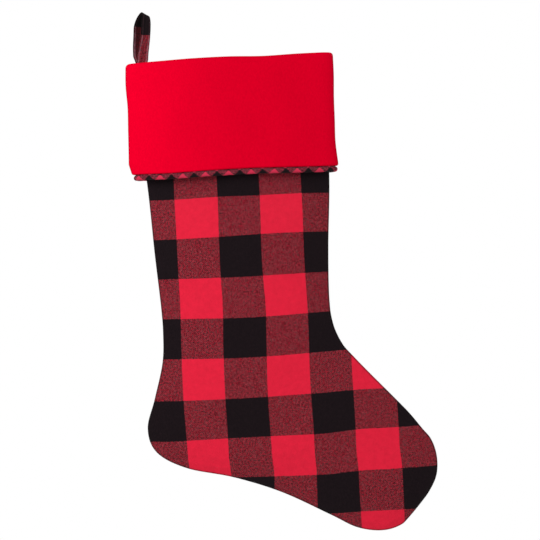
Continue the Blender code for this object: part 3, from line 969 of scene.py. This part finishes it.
def make_piping():
    path = around_cuff(lambda x, v, side: PIPING_Z - hem_drop(x, v, side), PIPING_INWARD)
    path, along = spread(path, PIPING_STEP, closed=True)
    ahead = np.roll(path, -1, axis=0) - np.roll(path, 1, axis=0)
    outward = unit(together(ahead[:, 1], -ahead[:, 0]))
    period = along[-1] + along[1]

    section, outer = piping_section()
    across = length_along(section)
    across[outer:] = across[outer - 1] - (across[outer:] - across[outer])
    across = PIPING_PATTERN - (across - across[outer // 2])

    phase = 2 * math.pi * round(period / PIPING_FOLDS) * along / period
    turn = np.arctan2(section[:, 0], -section[:, 1])
    swell = (PIPING_SWELL * np.sin(phase[:, None] + 1.5 * turn)
             + ripples(along[:, None], 2 * MM * turn, PIPING_RIPPLE, PIPING_SEED))
    on_bead = np.hypot(*section.T) < PIPING_RADIUS + 0.1 * MM
    swell = swell * (on_bead & (np.arange(len(section)) < outer))
    reach = section * (1 + swell / PIPING_RADIUS)[..., None]
    points = np.concatenate([path[:, None, :2] + outward[:, None] * reach[..., :1],
                             path[:, None, 2:] + reach[..., 1:]], axis=2)
    repeat = 2 * math.sqrt(2) * BIAS_CHECK
    stretch = repeat * round(period / PIPING_REPEAT) / period
    uv = together((along[:, None] - PIPING_START) * stretch, across[None])
    cover = make_piece("piping_bias_strip", points.reshape(-1, 3),
                       grid_faces(*points.shape[:2], 0, True, True), uv.reshape(-1, 2), BIAS)
    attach(cover, "cuff")
    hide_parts("piping_cover")

    cord = rod("piping_filler", path, CORD_RADIUS, 18, CORD, closed=True, lobes=3,
               twist=period / round(period / CORD_LAY))
    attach(cord, "cuff")
    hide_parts("piping_cord")


def make_mouth_seam():
    """The stitches that hold panels and lining together round the mouth."""
    u = np.array(MOUTH_SEAM_AT)
    heel, shin = rails(u, MOUTH_SEAM_INSET)
    depth = (PANEL_DEPTH + LINING_DEPTH) / 2
    ring = []
    for side in (FRONT, BACK):
        v = -side * np.linspace(-1, 1, MOUTH_SEAM_POINTS)[:-1]
        y = side * (MOUTH_SEAM_GAP + depth * leg_crown(v, u))
        ring.append(together(mix(heel[0], shin[0], (1 + v) / 2), y, heel[1]))
    seam = stitched("mouth_stitches", np.vstack(ring), 0.3 * MM, closed=True)
    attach(seam, "stocking")
    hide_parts("mouth_seam_thread")


# ---------------- the hanging loop

STRIP_V = crowded(STRIP_COLS, STRIP_CROWDING)


def strand(side, z):
    """Middle line of one strand below the loop's widest level: its distance from the loop's own
    plane, to the side it is on, and its shifts across the strip and along x, since the two strands
    lie askew."""
    apart = mix(LOOP_HALF_OPENING, STRAND_Y, between(z, *LOOP_CLOSING) ** 1.3)
    askew = between(z, *STRAND_ASKEW) * (1 - between(z, *STRAND_STRAIGHT[side]))
    return side * apart, -side * STRAND_SHIFT * askew, STRAND_NUDGE[side] * askew


def strip_grid(y, shift, nudge, z, pinch=0.0):
    """The strip laid along a line, turned and leaning as the loop is."""
    y, shift, nudge, z, pinch = (np.broadcast_to(part, z.shape)[:, None]
                                 for part in (y, shift, nudge, z, pinch))
    turn = LOOP_TURN * (1 - between(z, *LOOP_TURN_ENDS))
    low = between(z, *STRIP_GATHER)
    across = STRIP_V * mix(STRIP_WIDTH, TAB_WIDTH, low) / 2 * (1 - pinch) + shift
    x = across * np.cos(turn) - y * np.sin(turn) + mix(STRIP_LEAN * z, TAB_X, low) + nudge
    return together(x, across * np.sin(turn) + y * np.cos(turn), z)


def strip_uv(along):
    return together(STRIP_V * STRIP_WIDTH / 2, along[:, None])


def strip_half(rows):
    """Half the strip's thickness: full near its folded edges, flatter along its middle."""
    v = np.abs(STRIP_V)
    fold = mix(0.92, 1.06, between(v, 0.45, 0.75))
    round_off = np.sqrt(np.maximum(1 - (np.maximum(v - 0.90, 0) / 0.105) ** 2, 0.08))
    return np.broadcast_to(STRIP_HALF * fold * round_off, (rows, STRIP_COLS))


def make_loop_upper():
    """The loop down to where its strands meet the lower piece. Returns the places along the strip
    of its two ends, which count from the top of the loop."""
    down = np.linspace(LOOP_WIDEST, LOOP_JOIN, STRAND_ROWS)[1:]
    turn = np.linspace(-math.pi / 2, math.pi / 2, ARCH_ROWS)
    folding = np.cos(turn) ** 2
    arch = strip_grid(LOOP_HALF_OPENING * np.sin(turn) - LOOP_CREST * folding, 0.0, 0.0,
                      mix(LOOP_WIDEST, LOOP_TOP, np.cos(turn)), LOOP_PINCH * folding)
    arch[..., 2] -= LOOP_SLANT * folding[:, None] * STRIP_V * STRIP_WIDTH / 2
    front, back = (strip_grid(*strand(side, down), down) for side in (FRONT, BACK))
    middle = np.concatenate([front[::-1], arch, back])
    along = length_along(middle[:, STRIP_COLS // 2])
    along -= along[len(down) + ARCH_ROWS // 2]
    upper = sheet("loop_upper", middle, strip_half(len(middle)), strip_uv(along), STRIP,
                  INNER_SIDE)
    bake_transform(upper)
    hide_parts("hanging_loop")
    return along[0], along[-1]


def make_loop_lower(starts):
    """The two strands from the upper piece's ends down to the end of the tab, as one piece."""
    parts, faces, places, count = [], [], [], 0
    tail = np.linspace(LOOP_JOIN, TAB_END, TAIL_ROWS)
    for side, start in zip((FRONT, BACK), starts):
        middle = strip_grid(*strand(side, tail), tail)
        points, own = sheet_mesh(middle, strip_half(len(middle)), count)
        along = start + side * length_along(middle[:, STRIP_COLS // 2])
        flat = strip_uv(along).reshape(-1, 2)
        parts.append(points)
        faces += own
        places += [flat, flat + (INNER_SIDE, 0)][::int(side)]
        count += len(points)
    lower = make_piece("loop_lower", np.vstack(parts), faces, np.vstack(places), STRIP)
    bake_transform(lower)
    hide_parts("loop_neck", "loop_tab")


def make_bar_tack():
    """The thread that zigzags over the tab."""
    low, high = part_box("loop_bar_tack")
    x = np.repeat(np.linspace(low.x, high.x, TACK_PASSES), 2)
    z = np.tile([low.z, high.z, high.z, low.z], TACK_PASSES)[:len(x)]
    line = together(x, (low.y + high.y) / 2, z)
    tack = rod("bar_tack_stitches", spread(line, TACK_STEP)[0], THREAD_RADIUS, 6, THREAD)
    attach(tack, "stocking")
    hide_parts("loop_bar_tack")


# ---------------- camera, light and floor

TILT = math.radians(3.0)
CENTRE = Vector((0.1214, 0.0, -0.2778))
CAMERA_DISTANCE = 2.2
VIEW_WIDTH = 0.575
SENSOR_WIDTH = 36.0  # in mm, as the camera's lens is
FLOOR_HALF = 1.2
FLOOR_X = 0.12
FLOOR_Z = -0.75
FLOOR_COLOUR = (0.82, 0.81, 0.80, 1)


def aim(thing, place, target, up=Vector((0, 0, 1))):
    """Puts thing at place with its -Z towards target."""
    back = (place - target).normalized()
    right = up.cross(back).normalized()
    turn = Matrix((right, back.cross(right), back)).transposed().to_4x4()
    thing.matrix_world = Matrix.Translation(place) @ turn


def make_camera():
    camera = bpy.data.cameras.new("camera")
    camera.sensor_width = SENSOR_WIDTH
    camera.lens = SENSOR_WIDTH * CAMERA_DISTANCE / VIEW_WIDTH
    thing = add_object("camera", camera)
    up = Vector((math.sin(TILT), 0, math.cos(TILT)))
    aim(thing, CENTRE + Vector((0, -CAMERA_DISTANCE, 0)), CENTRE, up)
    bpy.context.scene.camera = thing


def make_light(name, place, size, power):
    light = bpy.data.lights.new(name, "AREA")
    light.shape = "SQUARE"
    light.size = size
    light.energy = power
    aim(add_object(name, light), CENTRE + Vector(place), CENTRE)


def make_stage():
    world = bpy.data.worlds.new("studio")
    world.use_nodes = True
    background = world.node_tree.nodes["Background"].inputs
    background["Color"].default_value = (1, 1, 1, 1)
    background["Strength"].default_value = 1.0
    bpy.context.scene.world = world
    bpy.context.scene.view_settings.view_transform = "Standard"
    make_light("key", (-0.8, -1.0, 0.6), 0.7, 18.0)
    make_light("fill", (1.4, -1.0, 0.2), 1.2, 4.0)

    mesh = bpy.data.meshes.new("floor")
    mesh.from_pydata([(FLOOR_X + x * FLOOR_HALF, y * FLOOR_HALF, FLOOR_Z)
                      for x, y in ((-1, -1), (1, -1), (1, 1), (-1, 1))], [], [(0, 1, 2, 3)])
    finish = bpy.data.materials.new("pale_floor")
    finish.use_nodes = True
    shader = finish.node_tree.nodes["Principled BSDF"]
    shader.inputs["Base Color"].default_value = FLOOR_COLOUR
    shader.inputs["Roughness"].default_value = 0.9
    mesh.materials.append(finish)
    floor = add_object("floor", mesh)


make_camera()
make_bag()
make_cuff()
make_piping()
make_mouth_seam()
make_loop_lower(make_loop_upper())
make_bar_tack()
make_stage()
